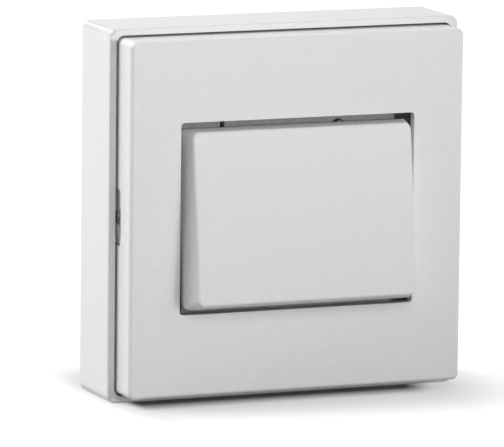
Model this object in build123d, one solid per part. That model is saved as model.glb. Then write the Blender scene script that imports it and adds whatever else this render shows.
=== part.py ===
"""A weatherproof surface-mounted light switch: wall box, cover plate and two-way rocker mechanism.

Every piece is drawn as it lies on its back on a bench: x to the right, y up the wall, z out of the wall
towards the user, with z = 0 at the wall. The last step turns it upright, so that z becomes -Y and y
becomes +Z. The rocker is drawn level and then tilted about its pivot, with its lower edge standing out.
"""

from build123d import *
from math import cos, radians, sin, tan
import os

# Surface box
box_size = 84.5            # outer width and height
box_depth = 17.5           # wall face to front rim
box_corner = 2.0           # outline corner radius
box_wall = 2.0
box_floor = 2.0
rim_wall = 1.55            # thinner wall beside the cover plate
rim_edge_fillet = 0.5
ledge_depth = 3.6          # rim down to the gasket ledge
ledge_width = 1.0          # how far the ledge stands in from the wall
ledge_thickness = 1.4

# Cover plate
plate_gap = 0.45           # clearance all round between the rim and the plate's skirt
plate_proud = 8.0          # plate front above the rim
plate_front_wall = 2.0
plate_skirt_wall = 1.6
plate_corner = 1.4
plate_edge_fillet = 0.9
opening_side_gap = 0.625   # rocker's base to the opening, each side
opening_end_gap = 1.125    # the same above and below
opening_corner = 0.8
opening_edge_fillet = 0.15
notch_width = 12.7         # prising notch in each side of the skirt
notch_above_rim = 2.1
notch_corner = 0.9

# Seals
rim_gasket_thickness = 1.0
gasket_clearance = 0.1
wall_groove_width = 2.4
wall_groove_depth = 1.0
wall_groove_inset = 1.2    # outline of the box to the groove's outer side

# Rocker
rocker_width = 52.7        # front face, measured to its sharp corners
rocker_height = 38.6
rocker_draft = 11.0        # degrees
rocker_draft_depth = 6.3   # how far back the sloped sides run
rocker_depth = 9.0         # front face to the side skirts' back edge, at the pivot
rocker_side_depth = 8.0    # the same near both ends
rocker_end_depth = 4.4     # front face to the back edge of the end walls
skirt_curve = 2.3          # length of the curve from the side depth to the end depth
rocker_wall = 1.8
rocker_crown = 0.25        # rise of the slightly domed front
rocker_corner = 1.7
rocker_base_corner = 1.2
rocker_inner_corner = 0.4
rocker_edge_fillet = 0.7
rocker_proud = 4.95        # level front face above the plate's front
rest_tilt = 7.0            # degrees from level, each way

# Rocker bearing and cradle
pivot_behind_face = 4.5
trunnion_radius = 1.0
bearing_clearance = 0.05
cradle_width = 16.0
cradle_height = 14.0
cradle_below_pivot = 3.0
cradle_pocket_width = 3.4
cradle_pocket_margin = 1.5
cradle_pocket_middle = 5.4
cradle_pocket_floor = 1.6  # below the pivot
trunnion_chamfer = 0.3
post_side_clearance = 0.4
post_thickness = 2.6
post_nose_radius = 2.1
post_foot_width = 8.0
tube_outer_radius = 3.3
tube_below_pivot = 6.9
spring_room_top = 1.0      # closed end of the tube, above the pivot
hook_thickness = 1.2
hook_width = 8.0
hook_bite = 0.6
hook_clearance = 0.1
hook_nose_height = 1.2
hook_root = 0.3            # how far the hook is sunk into the front wall

# Plunger and its spring
plunger_radius = 2.0
plunger_clearance = 0.05
plunger_slit_air = 0.4     # round the plunger in the dome
plunger_back = 4.0         # back of the plunger, below the pivot
plunger_shoulder = 8.5
plunger_tip = 11.3         # lowest point of the tip, below the pivot
plunger_tip_radius = 1.2
spring_wire = 0.45
spring_radius = 1.5        # to the middle of the wire
spring_turns = 5
spring_end_air = 0.05      # at each end of the relaxed spring

# Contact lever
lever_tilt = 9.0           # degrees from level, each way
lever_thickness = 0.8
lever_half_length = 9.4
lever_width = 5.0
lever_pin_radius = 0.6
lever_pin_length = 1.7
lever_cheek = 1.2          # width of strip left with a pin under it, both sides together
tip_clearance = 0.33       # plunger tip to the lever
contact_offset = 7.5       # lever pivot to the middle of each contact
contact_radius = 1.6
contact_height = 1.0
contact_air = 0.06         # between closed contacts
contact_chamfer = 0.2

# Mounting yoke and switch base
yoke_size = 71.0
yoke_thickness = 1.2
yoke_corner = 6.0
fixing_spacing = 60.0
fixing_radius = 1.5        # shank of the two fixing screws
fixing_head_radius = 3.0
fixing_head_height = 2.0
fixing_clearance = 0.05
fixing_head_fillet = 0.9
fixing_tip_air = 1.0       # end of the screw to the bottom of its hole
cross_length = 3.2         # crossed recess in the head
cross_width = 0.7
cross_depth = 1.1
yoke_slot_length = 9.0
yoke_slot_air = 0.3        # slot to the screw's shank, each side
yoke_hole_radius = 2.0
yoke_hole_inset = 6.0
boss_radius = 3.5
boss_floor = 3.0           # solid plastic under each screw hole
boss_rib = 1.4
base_width = 44.0
base_height = 35.0
base_air = 1.2             # box floor to the back of the base
base_over_lever = 0.5      # lever pivot to the base's front
cover_clearance = 0.2      # base cover in the yoke's cut-out
moulding_corner = 1.0      # outline corners of the inner mouldings
cover_flange_overlap = 2.4
cover_flange = 1.2
chamber_width = 11.0       # lever chamber in the base
chamber_height = 25.0
dome_height = 28.0
dome_wall = 1.1
dome_room_width = 12.0
lever_room = 0.9           # free space over the raised end of the lever
rivet_radius = 1.2
rivet_inset = 2.5
rivet_head = 0.4

# Terminals
strip_thickness = 0.8
strip_width = 3.8
strip_below_lever = 5.16   # lever pivot to the strips' back face
strip_end = 0.2            # how far a strip stands out of its cage
tab_width = 5.2            # tab that carries a fixed contact
tab_length = 4.6
tab_overlap = 1.6          # how far the riser runs on behind the tab
prong_gap = 0.4            # lever to each prong
prong_thickness = 1.0
prong_width = 3.4
cage_length = 6.0
cage_width = 7.0
cage_wall = 1.0
cage_below_strip = 4.2     # strips' back face to the cages' back face
cage_height = 7.2
cage_middle = 16.0         # x of the cages' middle
cage_offset = 9.5          # y of the two switched cages
pocket_clearance = 0.2
wire_hole_radius = 1.8
terminal_screw_radius = 1.6
terminal_thread_air = 0.05
terminal_head_radius = 2.7
terminal_head_height = 1.7
terminal_head_sunk = 0.3   # head below the base's front
terminal_head_air = 0.3    # round the head in the cover
screw_slot = 0.7
screw_slot_depth = 0.5

# Insert frame
frame_gap = 0.35           # frame to the inside of the plate's skirt
frame_wall = 1.3
frame_clearance = 0.289    # frame's front to the lowest point of the tilted skirts
frame_front_wall = 1.2
frame_under_side = 1.35    # how far the frame reaches in under the rocker's front
frame_under_end = 1.3      # the same above and below
frame_corner = 1.5
frame_screw_air = 1.0      # round a fixing screw's head
frame_slot_middle = 16.3
frame_slot_width = 1.0
frame_slot_length = 6.0
frame_slot_lap = 0.45      # how far the slot cuts into the opening's edge
frame_stud_radius = 1.17
frame_stud_x = 11.85
frame_stud_rise = 0.95     # frame's opening to the stud's middle
frame_stud_height = 1.0
frame_pocket_inset = 2.5   # side of the plate's opening to the pocket's side
frame_pocket_height = 12.0
frame_pocket_rise = 0.5    # end of the frame's opening to the pocket's middle
frame_pocket_depth = 2.0
frame_pocket_floor = 1.0
frame_pocket_margin = 3.0  # pocket to the inside of the frame's wall
pry_recess_width = 3.8
pry_recess_depth = 0.9
pry_recess_middle = 0.4
pry_pip_radius = 0.5
pry_pip_height = 0.7
pry_pip_drop = 1.3         # frame's front to the pip's middle
clip_width = 5.0
clip_thickness = 0.9
clip_bite = 0.6
clip_nose = 1.1
snap_nub_width = 6.0
snap_nub_bite = 0.55
snap_nub_height = 1.0
snap_nub_middle = 20.0
snap_nub_slope = 0.3
snap_nub_root = 0.2        # how far the nub is sunk into the skirt
snap_nub_rise = 1.0        # above the yoke
snap_window_clearance = 0.4

# Wall fixing and cable entry
wall_hole_radius = 2.25
wall_hole_spacing = 60.0
wall_pad_radius = 4.6
wall_pad_height = 1.0
entry_y = -29.0
entry_hole_radius = 7.0
entry_recess_radius = 9.0
entry_recess_depth = 1.5
entry_boss_radius = 11.0
entry_boss_height = 4.0
grommet_clearance = 0.1
grommet_sunk = 0.2         # flange below the box's back face
grommet_bore_radius = 4.2
grommet_nose_radius = 5.4
grommet_lip = 1.0          # how far the inner flange stands over the boss
grommet_height = 7.0
grommet_flange = 1.2

# Places that follow from the sizes above
rim_z = box_depth
plate_size = box_size - 2 * (rim_wall + plate_gap)
plate_z = rim_z + plate_proud
rocker_widen = rocker_draft_depth * tan(radians(rocker_draft))
opening_width = rocker_width + 2 * (rocker_widen + opening_side_gap)
opening_height = rocker_height + 2 * (rocker_widen + opening_end_gap)
ledge_z = rim_z - ledge_depth
skirt_z = ledge_z + rim_gasket_thickness
rim_inner = box_size - 2 * rim_wall
box_inner = box_size - 2 * box_wall
ledge_inner = box_inner - 2 * ledge_width
skirt_inner = plate_size - 2 * plate_skirt_wall
base_back_z = box_floor + base_air
pivot_z = plate_z + rocker_proud - pivot_behind_face
rest_rise = sin(radians(rest_tilt))
tip_centre = plunger_tip - plunger_tip_radius
tip_z = pivot_z - tip_centre * cos(radians(rest_tilt))
tip_y = -tip_centre * sin(radians(rest_tilt))
tip_reach = plunger_tip_radius + tip_clearance + lever_thickness
lever_z = tip_z - (tip_reach + tip_y * sin(radians(lever_tilt))) / cos(radians(lever_tilt))
strip_back = lever_z - strip_below_lever
cage_back = strip_back - cage_below_strip
base_front_z = lever_z + base_over_lever
yoke_front_z = base_front_z + yoke_thickness
flange_front_z = yoke_front_z + cover_flange
lever_peak = lever_thickness * cos(radians(lever_tilt)) + lever_half_length * sin(radians(lever_tilt))
dome_inner_z = lever_z + lever_peak + lever_room
dome_front_z = dome_inner_z + dome_wall
post_inner = cradle_width / 2 + post_side_clearance
frame_size = skirt_inner - 2 * frame_gap
frame_inner = frame_size - 2 * frame_wall
curve_y = rocker_height / 2 + rocker_end_depth * tan(radians(rocker_draft)) - skirt_curve  # where it starts
curve_rise = (rocker_side_depth - rocker_end_depth) * cos(radians(rest_tilt))
curve_reach = (curve_rise**2 + (skirt_curve * rest_rise) ** 2) ** 0.5
curve_middle = (rocker_end_depth - pivot_behind_face) * cos(radians(rest_tilt)) + curve_y * rest_rise
frame_front = pivot_z - curve_middle - curve_reach - frame_clearance
frame_opening_width = rocker_width - 2 * frame_under_side
frame_opening_height = rocker_height - 2 * frame_under_end
frame_stud_y = frame_opening_height / 2 + frame_stud_rise
frame_pocket_start = opening_width / 2 - frame_pocket_inset


def block(width, height, z_back, z_front, x=0.0, y=0.0):
    """A plain block from z_back to z_front, centred on x, y."""
    return Pos(x, y, (z_back + z_front) / 2) * Box(width, height, z_front - z_back)


def rod(radius, z_back, z_front, x=0.0, y=0.0):
    """A round bar along z."""
    return Pos(x, y, (z_back + z_front) / 2) * Cylinder(radius, z_front - z_back)


def cross_rod(radius, x_from, x_to, y=0.0, z=0.0):
    """A round bar along x."""
    return Pos((x_from + x_to) / 2, y, z) * Rot(0, 90, 0) * Cylinder(radius, abs(x_to - x_from))


def slab(size_x, size_y, radius, z_back, z_front, x=0.0, y=0.0):
    """A plate with rounded outline corners."""
    outline = Pos(x, y, z_back) * RectangleRounded(size_x, size_y, radius)
    return extrude(outline, z_front - z_back)


def both_sides(piece):
    """The piece and its mirror image across the middle, left and right."""
    return piece + mirror(piece, Plane.YZ)


def half_turn(piece):
    """The piece turned half round about the z axis, as the frame and plate repeat."""
    return Rot(0, 0, 180) * piece


def edges_at(piece, z, tolerance=0.01):
    """Edges that lie wholly in the plane at height z."""
    return piece.edges().filter_by_position(Axis.Z, z - tolerance, z + tolerance)


def surface_box():
    """Wall box: an open tray with a gasket ledge, screw bosses, wall fixing pads and a cable entry."""
    outer = slab(box_size, box_size, box_corner, 0, rim_z)
    outer = fillet(edges_at(outer, rim_z), rim_edge_fillet)
    body = outer - slab(box_inner, box_inner, box_corner / 2, box_floor, ledge_z - ledge_thickness)
    body -= slab(ledge_inner, ledge_inner, box_corner / 2, ledge_z - ledge_thickness, ledge_z)
    body -= slab(rim_inner, rim_inner, plate_corner + plate_gap, ledge_z, rim_z)
    for side in (-1, 1):
        x = side * fixing_spacing / 2
        body += rod(boss_radius, box_floor, base_front_z, x)
        body += block(boss_rib, 3 * boss_radius, box_floor, box_floor + boss_radius, x)
        body -= rod(fixing_radius + fixing_clearance, boss_floor, base_front_z, x)
        pad_z = box_floor + wall_pad_height
        for y in (-wall_hole_spacing / 2, wall_hole_spacing / 2):
            body += rod(wall_pad_radius, box_floor, pad_z, x, y)
            body -= rod(wall_hole_radius, 0, pad_z, x, y)
    body += rod(entry_boss_radius, 0, entry_boss_height, 0, entry_y)
    body -= rod(entry_recess_radius, 0, entry_recess_depth, 0, entry_y)
    body -= rod(entry_hole_radius, entry_recess_depth, entry_boss_height, 0, entry_y)
    return body - wall_ring(0.0)


def wall_ring(clearance):
    """The ring that the wall gasket fills, smaller by a clearance on each side."""
    outside = box_size - 2 * wall_groove_inset - 2 * clearance
    inside = box_size - 2 * (wall_groove_inset + wall_groove_width) + 2 * clearance
    ring = slab(outside, outside, box_corner, 0, wall_groove_depth)
    return ring - slab(inside, inside, box_corner / 2, 0, wall_groove_depth)


def wall_gasket():
    return wall_ring(gasket_clearance)


def rim_gasket():
    """Flat seal on the box's ledge, under the plate's skirt."""
    outside = rim_inner - 2 * gasket_clearance
    inside = ledge_inner + 2 * gasket_clearance
    ring = slab(outside, outside, plate_corner + plate_gap, ledge_z, skirt_z)
    return ring - slab(inside, inside, box_corner / 2, ledge_z, skirt_z)


def cable_grommet():
    """Rubber grommet: a flange in the recess, a neck in the hole and a cone towards the terminals."""
    neck = entry_hole_radius - grommet_clearance
    flange = entry_recess_radius - grommet_clearance
    inner_flange_z = entry_boss_height + grommet_flange
    profile = Polyline(
        (grommet_bore_radius, grommet_sunk),
        (flange, grommet_sunk),
        (flange, entry_recess_depth),
        (neck, entry_recess_depth),
        (neck, entry_boss_height),
        (neck + grommet_lip, entry_boss_height),
        (neck + grommet_lip / 2, inner_flange_z),
        (grommet_nose_radius, grommet_height),
        (grommet_bore_radius, grommet_height),
        close=True,
    )
    ring = revolve(Plane.XZ * make_face(profile), Axis.Z)
    return Pos(0, entry_y, 0) * ring


def cover_plate():
    """Cover plate: a square cap with a rocker opening, two prising notches and four snap nubs."""
    body = slab(plate_size, plate_size, plate_corner, skirt_z, plate_z)
    body = fillet(edges_at(body, plate_z), plate_edge_fillet)
    body -= slab(skirt_inner, skirt_inner, plate_corner / 2, skirt_z, plate_z - plate_front_wall)
    opening = slab(opening_width, opening_height, opening_corner, plate_z - plate_front_wall, plate_z)
    body -= opening
    reach = plate_size / 2 - 2 * plate_edge_fillet
    lip = edges_at(body, plate_z).filter_by_position(Axis.X, -reach, reach)
    lip = lip.filter_by_position(Axis.Y, -reach, reach)
    body = fillet(lip, opening_edge_fillet)
    notch_side = RectangleRounded(notch_width, 2 * (rim_z + notch_above_rim - skirt_z), notch_corner)
    notch_side = Plane.YZ.offset(plate_size / 2) * Pos(0, skirt_z) * notch_side
    body -= both_sides(extrude(notch_side, 1.5 * plate_skirt_wall, both=True))
    nub = snap_nub(0.0)
    for x in (-1, 1):
        for turn in (0, 180):
            body += Rot(0, 0, turn) * Pos(x * snap_nub_middle, 0, 0) * nub
    return body


def snap_nub(growth):
    """A wedge on the inside of the top skirt, or the window that takes it when grown."""
    y_skirt = skirt_inner / 2
    z_low = yoke_front_z + snap_nub_rise - growth
    z_high = z_low + snap_nub_height + 2 * growth
    reach = y_skirt - snap_nub_bite - frame_gap - growth
    root = y_skirt + snap_nub_root
    z_root = z_low - snap_nub_slope
    z_tip = z_low + snap_nub_slope
    side = Polyline((root, z_root), (root, z_high), (reach, z_high), (reach, z_tip), close=True)
    face = Plane.YZ * make_face(side)
    width = snap_nub_width + 2 * growth
    return Pos(-width / 2, 0, 0) * extrude(face, width)


def insert_frame():
    """Plastic frame on the yoke: carries the cover plate and shows as a strip above the rocker."""
    wall_back = frame_front - frame_front_wall
    body = slab(frame_size, frame_size, plate_corner / 2, yoke_front_z, frame_front)
    body -= slab(frame_inner, frame_inner, plate_corner / 2, yoke_front_z, wall_back)
    body -= slab(frame_opening_width, frame_opening_height, frame_corner, wall_back, frame_front)
    for turn in (0, 180):
        body = corner_pocket(body, turn)
        body += Rot(0, 0, turn) * rod(frame_stud_radius, frame_front, frame_front + frame_stud_height,
                                      frame_stud_x, frame_stud_y)
    slot_y = (frame_opening_height + frame_slot_length) / 2 - frame_slot_lap
    body -= block(frame_slot_width, frame_slot_length, wall_back, frame_front, -frame_slot_middle, slot_y)
    for side in (-1, 1):
        body -= rod(fixing_head_radius + frame_screw_air, wall_back, frame_front, side * fixing_spacing / 2)
        body = pry_recess(body, side)
        for turn in (0, 180):
            window = snap_nub(snap_window_clearance)
            body -= Rot(0, 0, turn) * Pos(side * snap_nub_middle, 0, 0) * window
            body += Rot(0, 0, turn) * clip_leg(side * yoke_size / 6)
    return body


def corner_pocket(frame, turn):
    """The frame with a sunk, floored pocket beyond one end of its strip."""
    x_end = frame_inner / 2 - frame_pocket_margin
    width = x_end - frame_pocket_start
    height = frame_pocket_height
    x = (x_end + frame_pocket_start) / 2
    y = frame_opening_height / 2 + frame_pocket_rise
    floor_z = frame_front - frame_pocket_depth
    rim = 2 * frame_pocket_floor
    tray = slab(width + rim, height + rim, moulding_corner, floor_z - frame_pocket_floor, frame_front, x, y)
    tray -= slab(frame_opening_width, frame_opening_height, frame_corner, yoke_front_z, frame_front)
    frame += Rot(0, 0, turn) * tray
    return frame - Rot(0, 0, turn) * slab(width, height, moulding_corner, floor_z, frame_front, x, y)


def pry_recess(frame, side):
    """The frame with a shallow recess and a pip in one side wall, behind the plate's prising notch."""
    x_face = side * frame_size / 2
    x_floor = side * (frame_size / 2 - pry_recess_depth)
    depth = 2 * pry_recess_depth
    frame -= block(depth, pry_recess_width, yoke_front_z, frame_front, x_face, pry_recess_middle)
    pip_z = frame_front - pry_pip_drop
    x_back = x_floor - side * pry_pip_height / 4
    x_tip = x_floor + side * pry_pip_height
    return frame + cross_rod(pry_pip_radius, x_back, x_tip, pry_recess_middle, pip_z)


def clip_leg(x):
    """A sprung leg that hooks behind the yoke's top edge."""
    y_edge = yoke_size / 2 + 0.1
    y_back = y_edge + clip_thickness
    z_root = frame_front - frame_front_wall / 2
    z_hook = base_front_z - 0.1
    side = Polyline(
        (y_edge, z_root),
        (y_edge, z_hook),
        (y_edge - clip_bite, z_hook),
        (y_edge - clip_bite / 3, z_hook - clip_nose),
        (y_back, z_hook - clip_nose),
        (y_back, z_root),
        close=True,
    )
    return Pos(x - clip_width / 2, 0, 0) * extrude(Plane.YZ * make_face(side), clip_width)


def mounting_yoke():
    """Sheet steel yoke with a cut-out for the switch base and a slot for each fixing screw."""
    body = slab(yoke_size, yoke_size, yoke_corner, base_front_z, yoke_front_z)
    cut_width = base_width + 2 * cover_clearance
    cut_height = base_height + 2 * cover_clearance
    body -= slab(cut_width, cut_height, moulding_corner, base_front_z, yoke_front_z)
    slot_width = 2 * (fixing_radius + yoke_slot_air)
    slot = Pos(0, 0, base_front_z) * SlotOverall(yoke_slot_length, slot_width, rotation=90)
    corner = yoke_size / 2 - yoke_hole_inset
    for turn in (0, 90, 180, 270):
        body -= Rot(0, 0, turn) * Pos(fixing_spacing / 2, 0, 0) * extrude(slot, yoke_thickness)
        body -= Rot(0, 0, turn) * rod(yoke_hole_radius, base_front_z, yoke_front_z, corner, corner)
    return body


def yoke_screw(x):
    """Pan-head screw with a crossed recess."""
    top = yoke_front_z + fixing_head_height
    head = rod(fixing_head_radius, yoke_front_z, top, x)
    head = fillet(edges_at(head, top), fixing_head_fillet)
    shank = rod(fixing_radius, boss_floor + fixing_tip_air, yoke_front_z, x)
    recess = block(cross_length, cross_width, top - cross_depth, top, x)
    recess += block(cross_width, cross_length, top - cross_depth, top, x)
    return head + shank - recess


def yoke_screws():
    return Compound([yoke_screw(side * fixing_spacing / 2).solid() for side in (-1, 1)])


def terminal_places():
    """Middle of each terminal cage: common, upper and lower."""
    return {
        "common": (-cage_middle, 0.0),
        "upper": (cage_middle, cage_offset),
        "lower": (cage_middle, -cage_offset),
    }


def rivet_places():
    x, y = base_width / 2 - rivet_inset, base_height / 2 - rivet_inset
    return [(-x, -y), (-x, y), (x, -y), (x, y)]


def switch_base():
    """Moulded base: a block with a lever chamber, strip channels, terminal pockets and wire holes."""
    body = slab(base_width, base_height, moulding_corner, base_back_z, base_front_z)
    body -= block(chamber_width, chamber_height, strip_back, base_front_z)
    channel = strip_width + 2 * pocket_clearance
    pocket_length = cage_length + 2 * pocket_clearance
    pocket_width = cage_width + 2 * pocket_clearance
    pocket_z = cage_back - pocket_clearance
    for x, y in terminal_places().values():
        body -= block(abs(x), channel, strip_back, base_front_z, x / 2, y)
        body -= block(pocket_length, pocket_width, pocket_z, base_front_z, x, y)
        outside = base_width / 2 if x > 0 else -base_width / 2
        body -= cross_rod(wire_hole_radius, x, outside, y, cage_back + cage_wall + wire_hole_radius)
    for x, y in rivet_places():
        body -= rod(rivet_radius + bearing_clearance, base_back_z, base_front_z, x, y)
    return body


def base_cover():
    """Front of the switch housing: a flange on the yoke, a dome over the lever and two bearing posts."""
    plug = slab(base_width, base_height, moulding_corner, base_front_z, yoke_front_z)
    flange_width = base_width + 2 * cover_flange_overlap
    flange_height = base_height + 2 * cover_flange_overlap
    corner = 2 * moulding_corner
    body = plug + slab(flange_width, flange_height, corner, yoke_front_z, flange_front_z)
    body += slab(cradle_width, dome_height, corner, yoke_front_z, dome_front_z)
    for side in (-1, 1):
        body += bearing_post(side)
    body -= slab(dome_room_width, chamber_height, moulding_corner, base_front_z, dome_inner_z)
    swing = (pivot_z - dome_inner_z) * rest_rise
    slit = 2 * (plunger_radius + plunger_slit_air)
    body -= slab(slit, slit + 2 * swing, moulding_corner, dome_inner_z, dome_front_z)
    for x, y in terminal_places().values():
        body -= rod(terminal_head_radius + terminal_head_air, base_front_z, flange_front_z, x, y)
    for x, y in rivet_places():
        body -= rod(rivet_radius + bearing_clearance, base_front_z, flange_front_z, x, y)
    return body


def bearing_post(side):
    """A post with a round nose that carries one trunnion of the cradle."""
    foot = yoke_front_z
    half = post_foot_width / 2
    nose = post_nose_radius
    outline = make_face(Polyline((-half, foot), (half, foot), (nose, pivot_z), (-nose, pivot_z), close=True))
    outline += Pos(0, pivot_z) * Circle(nose)
    outline -= Pos(0, pivot_z) * Circle(trunnion_radius + bearing_clearance)
    post = extrude(Plane.YZ * outline, post_thickness)
    start = post_inner if side > 0 else -post_inner - post_thickness
    return Pos(start, 0, 0) * post


def base_rivets():
    """Four tubular rivets that hold base, yoke and cover together."""
    rivets = []
    head_z = flange_front_z + rivet_head
    for x, y in rivet_places():
        rivet = rod(rivet_radius, base_back_z, head_z, x, y)
        rivet += rod(2 * rivet_radius, flange_front_z, head_z, x, y)
        rivet -= rod(0.6 * rivet_radius, base_back_z, head_z, x, y)
        rivets.append(rivet.solid())
    return Compound(rivets)


def lever_frame(tilt):
    """Place that carries lever-level geometry to its tilted position."""
    return Pos(0, 0, lever_z) * Rot(tilt, 0, 0)


def contact_lever():
    """Copper strip with turned-down ends and two pivot pins, tilted with its lower arm back."""
    strip = Box(lever_width, 2 * lever_half_length, lever_thickness)
    strip = Pos(0, 0, lever_thickness / 2) * strip
    pin_end = lever_width / 2 + lever_pin_length
    strip += cross_rod(lever_pin_radius, -pin_end, pin_end)
    pin_gap = Box(lever_width - lever_cheek, 4 * lever_pin_radius, 2 * lever_thickness)
    strip -= Pos(0, 0, -lever_thickness) * pin_gap
    return lever_frame(lever_tilt) * strip


def contact_rivet(z_back, z_front, side):
    """A silver contact, its working face domed a little."""
    rivet = rod(contact_radius, z_back, z_front, 0, side * contact_offset)
    return chamfer(rivet.edges(), contact_chamfer)


def moving_contacts():
    """One contact under each arm of the lever."""
    rivets = [contact_rivet(-contact_height, 0.0, side) for side in (-1, 1)]
    return Compound([(lever_frame(lever_tilt) * rivet).solid() for rivet in rivets])


def fixed_contact(side):
    """The contact that faces the lever's upper (1) or lower (-1) arm when that arm is back."""
    front = -contact_height - contact_air
    return lever_frame(-side * lever_tilt) * contact_rivet(front - contact_height, front, side)


def switched_terminal(side):
    """Brass strip from a terminal cage to a tilted tab that carries the fixed contact."""
    x, y = cage_middle, side * cage_offset
    end = x + cage_length / 2 + strip_end
    start = -tab_width / 2
    strip_front = strip_back + strip_thickness
    strip = block(end - start, strip_width, strip_back, strip_front, (end + start) / 2, y)
    tab_front = -2 * contact_height - contact_air
    tab_place = Pos(0, side * contact_offset, tab_front - strip_thickness / 2)
    tab = lever_frame(-side * lever_tilt) * tab_place * Box(tab_width, tab_length, strip_thickness)
    riser_y = side * (contact_offset + tab_length / 2 - strip_thickness)
    riser_top = lever_z + tab_front - tab_overlap
    return strip + tab + block(tab_width, strip_thickness, strip_back, riser_top, 0, riser_y)


def common_terminal():
    """Brass strip from its cage to a bracket with two notched prongs, in which the lever rocks."""
    end = -cage_middle - cage_length / 2 - strip_end
    prong_inner = lever_width / 2 + prong_gap
    reach = prong_inner + prong_thickness
    notch = lever_pin_radius + bearing_clearance
    body = block(reach - end, strip_width, strip_back, strip_back + strip_thickness, (reach + end) / 2)
    for side in (-1, 1):
        x = side * (prong_inner + prong_thickness / 2)
        prong = block(prong_thickness, prong_width, strip_back, lever_z + lever_pin_radius / 2, x)
        prong -= cross_rod(notch, x - prong_thickness, x + prong_thickness, 0, lever_z)
        prong -= block(prong_thickness, 2 * notch, lever_z, lever_z + lever_pin_radius, x)
        body += prong
    return body


def terminal_cage(place):
    """Folded steel cage that a screw draws onto the wire."""
    x, y = place
    front = cage_back + cage_height
    body = block(cage_length, cage_width, cage_back, front, x, y)
    body -= block(cage_length, cage_width - 2 * cage_wall, cage_back + cage_wall, front - cage_wall, x, y)
    return body - rod(terminal_screw_radius, front - cage_wall, front, x, y)


def terminal_screw(place):
    """Slotted terminal screw, its point on the brass strip."""
    x, y = place
    head_top = base_front_z - terminal_head_sunk
    screw = rod(terminal_screw_radius - terminal_thread_air, strip_back + strip_thickness, head_top, x, y)
    screw += rod(terminal_head_radius, head_top - terminal_head_height, head_top, x, y)
    return screw - block(2 * terminal_head_radius, screw_slot, head_top - screw_slot_depth, head_top, x, y)


def terminal_screws():
    return Compound([terminal_screw(place).solid() for place in terminal_places().values()])


def tilt_rocker(piece):
    """Carries a level rocker piece, drawn with the pivot at the origin, to its resting tilt."""
    return Pos(0, 0, pivot_z) * Rot(-rest_tilt, 0, 0) * piece


def rocker_form(inset):
    """Outer form of the rocker, or its hollow when inset by the wall."""
    front = pivot_behind_face - inset
    start = pivot_behind_face - rocker_draft_depth
    back = pivot_behind_face - rocker_depth
    grown = rocker_widen * inset / rocker_draft_depth - inset
    front_corner = max(rocker_corner - inset, rocker_inner_corner)
    base_corner = max(rocker_base_corner - inset, rocker_inner_corner)
    width = rocker_width + 2 * (rocker_widen - inset)
    height = rocker_height + 2 * (rocker_widen - inset)
    base = Pos(0, 0, start) * RectangleRounded(width, height, base_corner)
    face = RectangleRounded(rocker_width + 2 * grown, rocker_height + 2 * grown, front_corner)
    return loft([base, Pos(0, 0, front) * face]) + slab(width, height, base_corner, back, start)


def rocker_cap():
    """The rocker's visible cap: a hollow, slightly domed key with two hooks for the cradle."""
    body = rocker_form(0.0)
    dome_radius = (rocker_height**2 / 4 + rocker_crown**2) / (2 * rocker_crown)
    dome = cross_rod(dome_radius, -rocker_width, rocker_width, 0, pivot_behind_face - dome_radius)
    body &= dome & block(2 * rocker_width, 2 * rocker_height, -2 * rocker_depth, 2 * pivot_behind_face)
    rim_z_low = pivot_behind_face - 2 * rocker_crown
    rim = body.edges().filter_by_position(Axis.Z, rim_z_low, pivot_behind_face + 0.01)
    body = fillet(rim, rocker_edge_fillet)
    body -= rocker_form(rocker_wall)
    body -= skirt_cut()
    for side in (-1, 1):
        body += cradle_hook(side)
    return body


def skirt_cut():
    """What the back edge leaves off: skirts deepest at the pivot, with round ends, and short end walls."""
    deepest = pivot_behind_face - rocker_depth
    side = pivot_behind_face - rocker_side_depth
    end = pivot_behind_face - rocker_end_depth
    below = deepest - rocker_depth
    outline = Pos(0, (end + below) / 2) * Rectangle(2 * rocker_height, end - below)
    y = curve_y
    outline -= make_face(Polyline((-y, end), (-y, side), (0, deepest), (y, side), (y, end), close=True))
    for middle in (-y, y):
        outline -= Pos(middle, end) * Ellipse(skirt_curve, end - side)
    between_skirts = rocker_width + 2 * (rocker_widen - rocker_wall)
    end_cut = block(between_skirts, 2 * rocker_height, below, end)
    return extrude(Plane.YZ * outline, rocker_width, both=True) + end_cut


def cradle_hook(side):
    """A hook inside the cap that snaps under the cradle block."""
    inner = cradle_height / 2 + hook_clearance
    root = pivot_behind_face - rocker_wall + hook_root
    nose = -cradle_below_pivot - hook_clearance
    outline = Polyline(
        (inner, root),
        (inner, nose),
        (inner - hook_bite, nose),
        (inner, nose - hook_nose_height),
        (inner + hook_thickness, nose - hook_nose_height),
        (inner + hook_thickness, root),
        close=True,
    )
    hook = Pos(-hook_width / 2, 0, 0) * extrude(Plane.YZ * make_face(outline), hook_width)
    return hook if side > 0 else half_turn(hook)


def rocker_cradle():
    """Block under the cap with two trunnions and the tube that guides the plunger."""
    top = pivot_behind_face - rocker_wall - hook_clearance
    body = slab(cradle_width, cradle_height, moulding_corner, -cradle_below_pivot, top)
    body += rod(tube_outer_radius, -tube_below_pivot, 0.0)
    end = post_inner + post_thickness
    for side in (-1, 1):
        pin = cross_rod(trunnion_radius, side * cradle_width / 2, side * end)
        body += chamfer(pin.edges().sort_by(Axis.X)[-1 if side > 0 else 0], trunnion_chamfer)
        x = side * cradle_pocket_middle
        height = cradle_height - 2 * cradle_pocket_margin
        body -= block(cradle_pocket_width, height, -cradle_below_pivot, -cradle_pocket_floor, x)
    return body - rod(plunger_radius + plunger_clearance, -tube_below_pivot, spring_room_top)


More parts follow.
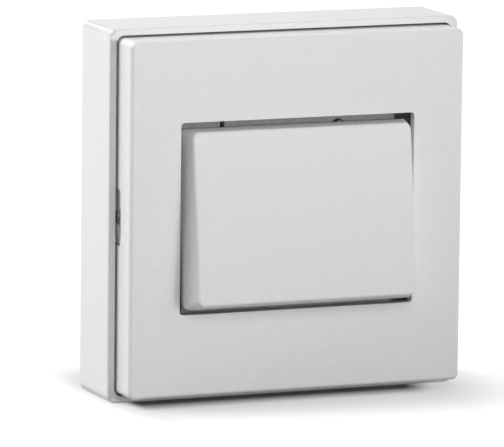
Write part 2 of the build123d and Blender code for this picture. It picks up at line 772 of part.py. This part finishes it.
def plunger():
    """Moulded pin with a round tip that presses on the contact lever."""
    body = rod(plunger_radius, -plunger_shoulder, -plunger_back)
    cone = Rot(180, 0, 0) * Cone(plunger_radius, plunger_tip_radius, tip_centre - plunger_shoulder)
    body += Pos(0, 0, -(plunger_shoulder + tip_centre) / 2) * cone
    return body + Pos(0, 0, -tip_centre) * Sphere(plunger_tip_radius)


def plunger_spring():
    """Helical spring between the closed end of the tube and the plunger."""
    length = spring_room_top + plunger_back
    rise = length - spring_wire - 2 * spring_end_air
    start = -plunger_back + spring_wire / 2 + spring_end_air
    path = Helix(rise / spring_turns, rise, spring_radius, center=(0, 0, start))
    section = Plane(origin=path @ 0, z_dir=path % 0) * Circle(spring_wire / 2)
    return sweep(section, path, is_frenet=True)


def pieces():
    """Every piece by the name of its node, in the bench frame."""
    built = {
        "surface_box": surface_box(),
        "wall_gasket": wall_gasket(),
        "cable_grommet": cable_grommet(),
        "rim_gasket": rim_gasket(),
        "cover_plate": cover_plate(),
        "insert_frame": insert_frame(),
        "mounting_yoke": mounting_yoke(),
        "yoke_screws": yoke_screws(),
        "switch_base": switch_base(),
        "base_cover": base_cover(),
        "base_rivets": base_rivets(),
        "common_terminal": common_terminal(),
        "upper_terminal": switched_terminal(1),
        "lower_terminal": switched_terminal(-1),
        "upper_fixed_contact": fixed_contact(1),
        "lower_fixed_contact": fixed_contact(-1),
        "terminal_screws": terminal_screws(),
        "contact_lever": contact_lever(),
        "moving_contacts": moving_contacts(),
        "rocker_cap": tilt_rocker(rocker_cap()),
        "rocker_cradle": tilt_rocker(rocker_cradle()),
        "plunger": tilt_rocker(plunger()),
        "plunger_spring": tilt_rocker(plunger_spring()),
    }
    for name, place in terminal_places().items():
        built[f"{name}_terminal_cage"] = terminal_cage(place)
    return built


def main():
    os.makedirs("parts", exist_ok=True)
    for name, piece in pieces().items():
        upright = Rot(90, 0, 0) * piece
        export_step(upright, f"parts/{name}.step")


main()
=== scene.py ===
"""Weatherproof light switch on a pale floor.

Finishes, fine detail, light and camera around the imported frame.
"""

from math import cos, radians, sin

import bmesh
import bpy
import numpy as np
from mathutils import Matrix, Vector


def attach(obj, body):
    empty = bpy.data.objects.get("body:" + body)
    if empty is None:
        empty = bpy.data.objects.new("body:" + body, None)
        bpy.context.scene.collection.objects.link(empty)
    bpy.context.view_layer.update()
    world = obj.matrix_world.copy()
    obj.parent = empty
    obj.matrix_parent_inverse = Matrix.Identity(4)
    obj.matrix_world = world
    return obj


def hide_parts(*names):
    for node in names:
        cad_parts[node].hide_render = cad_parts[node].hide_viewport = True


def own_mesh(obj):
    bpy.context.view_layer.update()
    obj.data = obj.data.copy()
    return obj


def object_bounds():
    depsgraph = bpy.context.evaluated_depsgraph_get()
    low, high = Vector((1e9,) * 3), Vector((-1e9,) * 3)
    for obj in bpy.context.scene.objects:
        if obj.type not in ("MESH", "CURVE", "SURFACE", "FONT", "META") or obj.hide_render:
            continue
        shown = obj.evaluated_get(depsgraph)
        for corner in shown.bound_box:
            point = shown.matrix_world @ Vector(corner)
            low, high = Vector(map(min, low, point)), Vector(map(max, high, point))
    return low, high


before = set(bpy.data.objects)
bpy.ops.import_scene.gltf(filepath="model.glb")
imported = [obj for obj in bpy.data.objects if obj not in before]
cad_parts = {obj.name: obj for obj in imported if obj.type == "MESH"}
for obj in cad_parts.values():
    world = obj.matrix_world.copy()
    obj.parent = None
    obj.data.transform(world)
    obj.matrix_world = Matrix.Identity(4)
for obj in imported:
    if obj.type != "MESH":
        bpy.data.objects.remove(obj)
cad_low, cad_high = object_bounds()
MM = 0.001


# Sizes that finishes and new pieces follow, in millimetres in the bench frame: x right, y up,
# z out from the wall. Blender's x, y and z are the bench frame's x, minus z and y.
BOX_HALF = 42.25
BOX_DEPTH = 17.5
# Distance of the painted highlight line on the box's upper left edge from its corner line
HIGHLIGHT_LINE_DROP = 0.83
FRAME_FRONT = 20.0
STUD_X, STUD_Y = 11.85, 18.95
STUD_TOP = 21.0
STUD_RADIUS = 1.17
PIVOT = np.array([0.0, 0.0, 25.95])
SLIDE_AXIS = np.array([0.0, 0.121869343, 0.992546152])
SPRING_LOW, SPRING_HIGH = -4.0, 1.0


# Materials

# Bumps to the metre in the noise of the white plastics, and that of the grained pieces
CLOUD, SPECK, SKIN = 60.0, 2300.0, 5200.0
FINE_GRAIN = 4200.0
IOR = 1.5

# Middle of the nicks on the box's upper left edge, in millimetres on Blender's axes
NICK_SPOT = (-BOX_HALF, -13.0, BOX_HALF - 0.8)


class Wire:
    """A value on its way through a material. Sums on it add the Math nodes that work them out."""

    def __init__(self, paint, socket):
        self.paint = paint
        self.socket = socket

    def sum_with(self, operation, *values):
        return self.paint.node("ShaderNodeMath", {"operation": operation}, *values)

    def __add__(self, other):
        return self.sum_with("ADD", self, other)

    def __radd__(self, other):
        return self.sum_with("ADD", other, self)

    def __sub__(self, other):
        return self.sum_with("SUBTRACT", self, other)

    def __rsub__(self, other):
        return self.sum_with("SUBTRACT", other, self)

    def __mul__(self, other):
        return self.sum_with("MULTIPLY", self, other)

    def __rmul__(self, other):
        return self.sum_with("MULTIPLY", other, self)

    def __pow__(self, other):
        return self.sum_with("POWER", self, other)

    def __abs__(self):
        return self.sum_with("ABSOLUTE", self)

    def at_least(self, other):
        return self.sum_with("MAXIMUM", self, other)

    def step(self, low, high):
        """0 below low, 1 above high, and a smooth rise between them."""
        settings = {"interpolation_type": "SMOOTHSTEP", "clamp": True}
        return self.paint.node("ShaderNodeMapRange", settings, self, low, high, 0.0, 1.0)


def find_socket(sockets, key):
    """A socket by its number, its identifier or its name, where an underline stands for a space."""
    if isinstance(key, int):
        return sockets[key]
    by_identifier = {socket.identifier: socket for socket in sockets}
    return by_identifier.get(key) or sockets[key.replace("_", " ")]


class Paint:
    """The nodes of one material, or of the world."""

    def __init__(self, holder):
        self.holder = holder
        self.holder.use_nodes = True
        self.tree = self.holder.node_tree
        self.tree.nodes.clear()

    def node(self, kind, settings, *values, output=0, **named):
        """A node of a kind, with its settings made first; gives one output.

        Its sockets take numbers, colours or Wires, in their own order or by name.
        """
        made = self.tree.nodes.new(kind)
        for key, value in settings.items():
            setattr(made, key, value)
        feeds = list(zip(made.inputs, values))
        feeds += [(find_socket(made.inputs, key), value) for key, value in named.items()]
        for socket, value in feeds:
            if isinstance(value, Wire):
                self.tree.links.new(value.socket, socket)
            else:
                socket.default_value = value
        return Wire(self, find_socket(made.outputs, output)) if made.outputs else None

    def place(self):
        """The point of the surface, in metres from the object's own origin."""
        return self.node("ShaderNodeTexCoord", {}, output="Object")

    def away_from(self, point, stretch=(1.0, 1.0, 1.0)):
        """Distance in metres from a point, each of Blender's axes first stretched by a factor.

        The point is given in millimetres on those axes.
        """
        centre = tuple(-MM * p * s for p, s in zip(point, stretch))
        settings = {"operation": "MULTIPLY_ADD"}
        spot = self.node("ShaderNodeVectorMath", settings, self.place(), stretch, centre)
        return self.node("ShaderNodeVectorMath", {"operation": "LENGTH"}, spot, output="Value")

    def along(self, axis):
        """The surface's place along one axis, X, Y or Z, in metres."""
        return self.node("ShaderNodeSeparateXYZ", {}, self.place(), output=axis)

    def noise(self, scale, detail=2.0, roughness=0.5):
        """Soft random values around a half, with 'scale' bumps to the metre."""
        return self.node(
            "ShaderNodeTexNoise", {}, Vector=self.place(), Scale=scale, Detail=detail,
            Roughness=roughness,
        )

    def drawn_noise(self, scales, detail, roughness=0.5, turn=0.0):
        """Noise with its own bumps to the metre on each axis, then turned about X."""
        drawn = self.node(
            "ShaderNodeMapping", {"vector_type": "POINT"}, Vector=self.place(),
            Rotation=(turn, 0.0, 0.0), Scale=scales,
        )
        return self.node(
            "ShaderNodeTexNoise", {}, Vector=drawn, Scale=1.0, Detail=detail, Roughness=roughness
        )

    def blend(self, share, first, second):
        """Colour from first to second as share goes from 0 to 1."""
        return self.node(
            "ShaderNodeMix", {"data_type": "RGBA"}, Factor_Float=share, A_Color=first,
            B_Color=second, output="Result_Color",
        )

    def bump(self, height, strength, distance):
        """Surface normal tipped by a height pattern."""
        return self.node(
            "ShaderNodeBump", {}, Strength=strength, Distance=distance, Height=height
        )

    def coat(self, colour, roughness, normal, metallic=0.0):
        """The finished material from its colour, roughness and normal."""
        shader = self.node(
            "ShaderNodeBsdfPrincipled", {}, Base_Color=colour, Metallic=metallic,
            Roughness=roughness, IOR=IOR, Normal=normal,
        )
        return self.finish(shader)

    def finish(self, shader):
        """Joins the shader to the surface and gives the material."""
        self.node("ShaderNodeOutputMaterial", {}, Surface=shader)
        return self.holder


def new_paint(name):
    return Paint(bpy.data.materials.new(name))


def grey(level):
    return (level, level, level, 1.0)


def tint(colour, factor):
    """A colour made darker or lighter by a factor, no part of it above 1."""
    return tuple(min(1.0, factor * part) for part in colour) + (1.0,)


def white_colour(paint, level, cloud):
    """Colour of a white plastic: clouds and finer specks, from just below its level to above."""
    speck = paint.noise(SPECK).step(0.25, 0.75)
    return paint.blend(0.25 * cloud + 0.75 * speck, grey(level * 0.965), grey(level * 1.03))


def white_gloss(roughness, cloud, skin):
    """Roughness of a white plastic: small changes with its clouds and its skin."""
    return roughness + 0.06 * (cloud - 0.5) + 0.04 * (skin - 0.5)


def skin_bump(paint, height):
    """The fine relief that the mould leaves on a white plastic."""
    return paint.bump(height, 0.1, 0.00001)


def gloss_plastic(name, level, roughness):
    """Polished white plastic: faint clouds, a fine skin from the mould and small gloss changes."""
    paint = new_paint(name)
    cloud = paint.noise(CLOUD, 3.0)
    skin = paint.noise(SKIN)
    colour = white_colour(paint, level, cloud)
    return paint.coat(colour, white_gloss(roughness, cloud, skin), skin_bump(paint, skin))


def box_plastic(name, level, roughness):
    """Polished white plastic of the box, painted light on its upper left edge, and faint scratches.

    On the edge's rounding a darker band is painted shade and a pale line is a painted highlight, at
    set distances from the box's corner line; a few nicks lie where a coarse noise is high, near one
    spot.
    """
    paint = new_paint(name)
    cloud = paint.noise(CLOUD, 3.0)
    skin = paint.noise(SKIN)
    edge = paint.away_from((-BOX_HALF, 0.0, BOX_HALF), (1.0, 0.0, 1.0))
    # A painted highlight line along the rounded edge, and painted shade on the rest of its rounding
    painted_edge_highlight = 1 - abs(edge - HIGHLIGHT_LINE_DROP * MM).step(0.00001, 0.00005)
    painted_edge_shade = 1 - edge.step(0.0013, 0.0018)
    near = 1 - paint.away_from(NICK_SPOT, (1.0, 0.6, 0.7)).step(0.0012, 0.0022)
    nick = near * paint.noise(2200.0, 1.0).step(0.56, 0.64)
    scratch = paint.drawn_noise((200.0, 60.0, 2600.0), 1.0, turn=0.5).step(0.74, 0.78)
    # The rounding darkened as painted shade; the highlight line and the nicks made pale
    colour = paint.blend(painted_edge_shade, white_colour(paint, level, cloud), grey(level * 0.81))
    colour = paint.blend(painted_edge_highlight.at_least(0.9 * nick), colour, grey(0.95))
    gloss = white_gloss(roughness, cloud, skin) + 0.12 * scratch
    return paint.coat(colour, gloss, skin_bump(paint, skin + 8.0 * nick - 3.0 * scratch))


def matt_plastic(name, colour, roughness):
    """Inner moulded plastic with an even spark-eroded grain."""
    paint = new_paint(name)
    grain = paint.noise(3200.0, 3.0, 0.6)
    cloud = paint.noise(90.0)
    cloudy = paint.blend(cloud, tint(colour, 0.93), tint(colour, 1.02))
    return paint.coat(cloudy, roughness + 0.12 * (grain - 0.5), paint.bump(grain, 0.3, 0.00006))


def frame_plastic(name, plain, faced):
    """Grained plastic of the frame: mottled and darker in front, partly its own grey and partly
    painted shade of the recess behind the rocker, with a dark line of painted shade round each
    stud.
    """
    paint = new_paint(name)
    mottle = paint.noise(1300.0, 4.0, 0.7)
    grain = paint.noise(FINE_GRAIN)
    # Darker front face: partly its own grey, partly painted shade of the recess behind the rocker
    front = 1 - paint.along("Y").step(-FRAME_FRONT * MM + 0.0003, -FRAME_FRONT * MM + 0.0006)
    face = paint.blend(mottle.step(0.3, 0.7), grey(faced * 0.8), grey(faced * 1.15))
    colour = paint.blend(front, grey(plain), face)
    for side in (1, -1):
        stud = paint.away_from((side * STUD_X, -STUD_TOP, side * STUD_Y), (1.0, 0.0, 1.0))
        # A dark line of painted shade round the foot of each stud
        stud_shade_ring = 1 - abs(stud - STUD_RADIUS * MM).step(0.0001, 0.0003)
        colour = paint.blend(stud_shade_ring, colour, grey(0.05))
    relief = paint.bump(mottle + 0.5 * grain, 0.5, 0.00005)
    return paint.coat(colour, 0.5 + 0.15 * (mottle - 0.5), relief)


def rubber(name, colour):
    """Soft black seal rubber with a dusty bloom in patches."""
    paint = new_paint(name)
    bloom = paint.noise(240.0, 4.0, 0.6)
    grain = paint.noise(FINE_GRAIN)
    dusty = paint.blend(bloom.step(0.35, 0.75), tint(colour, 1.0), tint(colour, 1.7))
    return paint.coat(dusty, 0.62 + 0.2 * (bloom - 0.5), paint.bump(grain, 0.4, 0.00005))


def rolled_metal(name, colour, roughness, scales):
    """Rolled or plated sheet metal: fine lines along the rolling direction and cloudy patches."""
    paint = new_paint(name)
    lines = paint.drawn_noise(scales, 3.0, 0.65)
    cloud = paint.noise(320.0, 3.0)
    cloudy = paint.blend(cloud, tint(colour, 0.86), tint(colour, 1.06))
    gloss = roughness + 0.2 * (lines - 0.5) + 0.1 * (cloud - 0.5)
    return paint.coat(cloudy, gloss, paint.bump(lines, 0.15, 0.00003), metallic=1.0)


def dress(material, *nodes):
    """Puts one material on CAD pieces."""
    for node in nodes:
        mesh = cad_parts[node].data
        mesh.materials.clear()
        mesh.materials.append(material)


dress(box_plastic("box_plastic", 0.80, 0.3), "surface_box")
dress(gloss_plastic("plate_plastic", 0.83, 0.28), "cover_plate")
dress(gloss_plastic("rocker_plastic", 0.83, 0.34), "rocker_cap")
dress(frame_plastic("frame_plastic", 0.78, 0.46), "insert_frame")
dress(matt_plastic("base_plastic", (0.62, 0.61, 0.58), 0.5), "switch_base", "base_cover")
dress(matt_plastic("cradle_plastic", (0.68, 0.68, 0.66), 0.42), "rocker_cradle", "plunger")
dress(rubber("seal_rubber", (0.02, 0.02, 0.02)), "wall_gasket", "rim_gasket", "cable_grommet")
zinc_plate = rolled_metal("zinc_plate", (0.62, 0.63, 0.65), 0.32, (900.0, 900.0, 6000.0))
dress(
    zinc_plate, "mounting_yoke", "yoke_screws", "base_rivets", "terminal_screws", "plunger_spring",
    "common_terminal_cage", "upper_terminal_cage", "lower_terminal_cage",
)
dress(
    rolled_metal("brass", (0.86, 0.62, 0.28), 0.28, (600.0, 6000.0, 6000.0)),
    "common_terminal", "upper_terminal", "lower_terminal", "contact_lever",
)
dress(
    rolled_metal("contact_silver", (0.86, 0.85, 0.82), 0.22, (3000.0, 3000.0, 3000.0)),
    "moving_contacts", "upper_fixed_contact", "lower_fixed_contact",
)


# New pieces: the prise stops behind the plate's notches, and the plunger's coil

# Outlines of a prise stop's parts in y and z, the cut at each of their corners, and the x of their
# common back and of their faces
STOP_BACK = 38.3
LEAF = [(-6.2, 13.4), (-6.2, 17.6), (6.2, 17.6), (6.2, 13.4)]
LEAF_CUT = 0.3
LEAF_FACE = 39.4
UPPER_BLOCK = [(6.2, 15.0), (6.2, 18.7), (2.4, 18.7), (1.1, 16.6), (1.1, 15.0)]
UPPER_CUTS = (0.2, 0.8, 0.3, 0.3, 0.2)
LOWER_BLOCK = [
    (-1.7, 15.0), (-1.7, 16.8), (-3.2, 17.1), (-4.4, 17.5),
    (-5.2, 18.4), (-6.2, 18.5), (-6.2, 15.0),
]
LOWER_CUTS = (0.2, 0.5, 0.3, 0.3, 0.3, 0.3, 0.2)
BLOCK_FACE = 39.9
PIP_CENTRE = np.array([0.3, 16.3])
PIP_RADIUS = 0.5
PIP_FACE = 39.8

COIL_RADIUS = 1.5
COIL_WIRE = 0.45
COIL_TURNS = 5
COIL_GAP = 0.05


def stop_shell(outline, face, edge, centre):
    """Rows of a closed block with an outline in y and z as its section, from the back to a face.

    A point is the outline's point drawn towards the centre by the share that a row of the profile
    gives: none on the side, then one minus the cosine along the rounded edge, then all of the way
    to the middle of the face.
    """
    turn = np.linspace(0.0, np.pi / 2, 5)[1:]
    span = np.abs(outline - centre).max()
    drawn = np.concatenate(([1.0, 0.0, 0.0], edge / span * (1 - np.cos(turn)), [0.6, 1.0]))
    reach = face - STOP_BACK
    rounding = reach - edge + edge * np.sin(turn)
    height = np.concatenate(([0.0, 0.0, reach - edge], rounding, [reach, reach]))
    yz = centre + (outline - centre)[None, :, :] * (1 - drawn)[:, None, None]
    x = np.broadcast_to((STOP_BACK + height)[:, None, None], yz.shape[:2] + (1,))
    return np.concatenate((x, yz), axis=2)


def rounded(corners, cut, steps=5):
    """Closed outline through corners, each cut back on both sides and rounded.

    The rounding is a quadratic curve from cut to cut, with the corner as its middle control point.
    """
    corners = np.asarray(corners, dtype=float)
    cut = np.broadcast_to(np.asarray(cut, dtype=float), (len(corners),))[:, None]
    to_before = np.roll(corners, 1, axis=0) - corners
    to_after = np.roll(corners, -1, axis=0) - corners
    start = corners + cut * to_before / np.linalg.norm(to_before, axis=1, keepdims=True)
    end = corners + cut * to_after / np.linalg.norm(to_after, axis=1, keepdims=True)
    start, middle, end = start[:, None], corners[:, None], end[:, None]
    t = np.linspace(0.0, 1.0, steps)[None, :, None]
    curve = (1 - t) ** 2 * start + 2 * t * (1 - t) * middle + t ** 2 * end
    return curve.reshape(-1, 2)


def grid_faces(rows, columns, first):
    """Squares between neighbouring rows, closed round each row, numbered from the first vertex."""
    row, column = np.meshgrid(np.arange(rows - 1), np.arange(columns), indexing="ij")
    here, above = row * columns, (row + 1) * columns
    beside = (column + 1) % columns
    corners = (here + column, here + beside, above + beside, above + column)
    return first + np.stack(corners, axis=-1).reshape(-1, 4)


def put_shells(name, shells, side):
    """One piece of several closed shells, put on Blender's axes and mirrored where side is -1."""
    points, faces, count = [], [], 0
    for shell in shells:
        rows, columns = shell.shape[:2]
        points.append(shell.reshape(-1, 3))
        faces.append(grid_faces(rows, columns, count))
        count += rows * columns
    points = np.concatenate(points)
    world = np.stack((side * points[:, 0], -points[:, 2], points[:, 1]), axis=1) * MM
    mesh = bpy.data.meshes.new(name)
    mesh.from_pydata(world.tolist(), [], np.concatenate(faces).tolist())
    merged = bmesh.new()
    merged.from_mesh(mesh)
    bmesh.ops.remove_doubles(merged, verts=merged.verts, dist=1e-6)
    bmesh.ops.recalc_face_normals(merged, faces=merged.faces)
    merged.to_mesh(mesh)
    merged.free()
    piece = bpy.data.objects.new(name, mesh)
    bpy.context.scene.collection.objects.link(piece)
    return piece


def prise_stop(name, side, material):
    """Leaf behind a notch of the plate, with an upper and a lower block and a round pip between."""
    angle = np.linspace(0.0, 2 * np.pi, 24, endpoint=False)
    pip = PIP_CENTRE + PIP_RADIUS * np.stack((np.cos(angle), np.sin(angle)), axis=1)
    upper, lower = rounded(UPPER_BLOCK, UPPER_CUTS), rounded(LOWER_BLOCK, LOWER_CUTS)
    shells = [
        stop_shell(rounded(LEAF, LEAF_CUT), LEAF_FACE, 0.1, np.array([0.0, 15.0])),
        stop_shell(upper, BLOCK_FACE, 0.12, np.array([3.8, 17.0])),
        stop_shell(lower, BLOCK_FACE, 0.12, np.array([-4.0, 16.8])),
        stop_shell(pip, PIP_FACE, 0.3, PIP_CENTRE),
    ]
    piece = put_shells(name, shells, side)
    piece.data.materials.append(material)
    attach(piece, "housing")


def helix_wire(radius, wire, turns, low, high):
    """Wire along a helix about the plunger's axis, from low to high on it.

    The wire's middle turns at an even rate at the radius while it rises evenly. Round it lies a
    circle spanned by the direction away from the axis and the one at right angles to that and to
    the wire's run. Both ends close to a point.
    """
    angle = np.linspace(0.0, 2 * np.pi * turns, 32 * turns + 1)
    rise = np.linspace(low + wire / 2, high - wire / 2, len(angle))
    across = np.array([1.0, 0.0, 0.0])
    over = np.cross(SLIDE_AXIS, across)
    outward = np.cos(angle)[:, None] * across + np.sin(angle)[:, None] * over
    middle = PIVOT + rise[:, None] * SLIDE_AXIS + radius * outward
    run = np.gradient(middle, axis=0)
    run /= np.linalg.norm(run, axis=1, keepdims=True)
    beside = np.cross(run, outward)
    rows = np.concatenate(([0], np.arange(len(angle)), [len(angle) - 1]))
    outward, beside = outward[rows][:, None], beside[rows][:, None]
    around = np.linspace(0.0, 2 * np.pi, 12, endpoint=False)[:, None]
    circle = np.cos(around) * outward + np.sin(around) * beside
    open_share = np.ones(len(rows))
    open_share[[0, -1]] = 0.0
    return middle[rows][:, None] + wire / 2 * open_share[:, None, None] * circle


def plunger_coil(material):
    """The spring in the rocker's tube, attached to the plunger."""
    coil = helix_wire(
        COIL_RADIUS, COIL_WIRE, COIL_TURNS, SPRING_LOW + COIL_GAP, SPRING_HIGH - COIL_GAP
    )
    piece = put_shells("plunger_coil", [coil], 1)
    piece.data.materials.append(material)
    piece.data.shade_smooth()
    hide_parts("plunger_spring")
    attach(piece, "plunger")
    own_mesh(piece)


plunger_coil(zinc_plate)
# Brighter than the other white plastics as painted light, lifting the stops out of their deep shade
stop_plastic_painted_light = gloss_plastic("stop_plastic_painted_light", 0.92, 0.4)
prise_stop("prise_stop_left", -1, stop_plastic_painted_light)
prise_stop("prise_stop_right", 1, stop_plastic_painted_light)


# Floor, light and camera, in metres on Blender's axes

FLOOR_Z = cad_low.z
FLOOR_HALF = 4.0
FLOOR_GLOW = 1.0
FLOOR_GREY = 0.3
WORLD_LIGHT = 0.12

# The floor's shade: the x on either side from which distances count, how fast they then count,
# and the shares of the glow that come back, each with the distances where it starts and is whole
SHADE_LEFT, SHADE_RIGHT = -0.035, 0.028
LEFT_RATE, RIGHT_RATE = 3.0, 1.4
GLOW_SHARES = ((0.45, 0.002, 0.012), (0.45, 0.004, 0.044), (0.10, 0.08, 0.3))

ORIGIN = (0.0, 0.0, 0.0)
FRONT_PLACE = (0.85, -1.80, 0.20)

YAW, PITCH, ROLL = radians(22.364), radians(9.079), radians(0.626)
TARGET = Vector((-7.765, -17.5, -3.093)) * MM
DISTANCE = 1393.958 * MM
LENS, SENSOR = 442.74, 36.0


def seen_share(paint):
    """1 for what the camera sees, directly, in a reflection or through glass, and 0 for light."""
    kinds = ("Is Camera Ray", "Is Glossy Ray", "Is Transmission Ray")
    looks = [paint.node("ShaderNodeLightPath", {}, output=kind) for kind in kinds]
    return looks[0] + looks[1] + looks[2]


def glow_share(paint):
    """How much of the floor's glow shows, from the distance to the box's foot.

    The distance is the root of two squares: how far a point lies beside the box, times a rate, and
    how far it lies before or behind it.
    """
    across = paint.along("X")
    on_left = (SHADE_LEFT - across).at_least(0.0) * LEFT_RATE
    beside = on_left.at_least((across - SHADE_RIGHT) * RIGHT_RATE)
    half_depth = BOX_DEPTH / 2 * MM
    before = (abs(paint.along("Y") + half_depth) - half_depth).at_least(0.0)
    away = (beside * beside + before * before) ** 0.5
    parts = [part * away.step(low, high) for part, low, high in GLOW_SHARES]
    return parts[0] + parts[1] + parts[2]


def lay_floor():
    """A wide flat floor: white to look at, shaded close to the box, and dull as light."""
    ends = np.array([(-1, -1), (1, -1), (1, 1), (-1, 1)]) * FLOOR_HALF
    corners = np.column_stack((ends, np.full(4, FLOOR_Z)))
    mesh = bpy.data.meshes.new("floor")
    mesh.from_pydata(corners.tolist(), [], [(0, 1, 2, 3)])
    floor = bpy.data.objects.new("floor", mesh)
    bpy.context.scene.collection.objects.link(floor)
    paint = new_paint("floor_paper")
    paper = paint.node("ShaderNodeBsdfDiffuse", {}, Color=grey(FLOOR_GREY))
    glow = paint.node("ShaderNodeEmission", {}, Color=grey(1.0), Strength=FLOOR_GLOW)
    lit = paint.node("ShaderNodeAddShader", {}, paper, glow)
    shaded = paint.node("ShaderNodeMixShader", {}, glow_share(paint), paper, lit)
    both = paint.node("ShaderNodeMixShader", {}, seen_share(paint), paper, shaded)
    mesh.materials.append(paint.finish(both))


def light_world():
    """Even surround: white to look at, dim as light."""
    world = bpy.data.worlds.new("studio")
    bpy.context.scene.world = world
    paint = Paint(world)
    dim = paint.node("ShaderNodeBackground", {}, Color=grey(1.0), Strength=WORLD_LIGHT)
    white = paint.node("ShaderNodeBackground", {}, Color=grey(1.0), Strength=1.0)
    both = paint.node("ShaderNodeMixShader", {}, seen_share(paint), dim, white)
    paint.node("ShaderNodeOutputWorld", {}, Surface=both)


def hang_lamp(name, kind, place, power, aim=ORIGIN, sheen=True, **settings):
    """A lamp of a kind at a place, turned to its aim. Without a sheen the gloss doesn't show it."""
    data = bpy.data.lights.new(name, kind)
    data.energy = power
    for key, value in settings.items():
        setattr(data, key, value)
    lamp = bpy.data.objects.new(name, data)
    lamp.location = place
    lamp.visible_glossy = sheen
    lamp.rotation_mode = "QUATERNION"
    lamp.rotation_quaternion = (Vector(aim) - Vector(place)).to_track_quat("-Z", "Y")
    bpy.context.scene.collection.objects.link(lamp)


def set_camera():
    """The camera: yaw to the left, looking a little down, turned by a small roll."""
    away = Vector((-sin(YAW) * cos(PITCH), -cos(YAW) * cos(PITCH), sin(PITCH)))
    right = Vector((cos(YAW), -sin(YAW), 0.0))
    up = away.cross(right)
    across = right * cos(ROLL) + up * sin(ROLL)
    upward = up * cos(ROLL) - right * sin(ROLL)
    data = bpy.data.cameras.new("camera")
    data.lens = LENS
    data.sensor_width = SENSOR
    data.clip_start, data.clip_end = 0.1, 20.0
    camera = bpy.data.objects.new("camera", data)
    turn = Matrix((across, upward, away)).transposed()
    camera.matrix_world = Matrix.Translation(TARGET + away * DISTANCE) @ turn.to_4x4()
    bpy.context.scene.collection.objects.link(camera)
    bpy.context.scene.camera = camera


lay_floor()
light_world()
hang_lamp("back_lamp", "AREA", (-0.80, 0.25, 0.56), 5.0, size=0.35)
hang_lamp("high_back_lamp", "AREA", (-0.58, 0.46, 0.67), 5.3, size=0.35)
hang_lamp("front_lamp", "AREA", FRONT_PLACE, 9.4, sheen=False, size=0.6)
hang_lamp(
    "front_spot", "SPOT", FRONT_PLACE, 43.5, aim=(-0.043, 0.0, 0.106), sheen=False,
    spot_size=radians(9.2), spot_blend=0.5, shadow_soft_size=0.1,
)
hang_lamp("near_lamp", "AREA", (-0.10, -0.55, 0.30), 0.77, size=0.2)
hang_lamp("side_lamp", "AREA", (0.35, -0.45, 0.20), 0.35, size=0.2)
set_camera()
bpy.context.scene.view_settings.view_transform = "Standard"
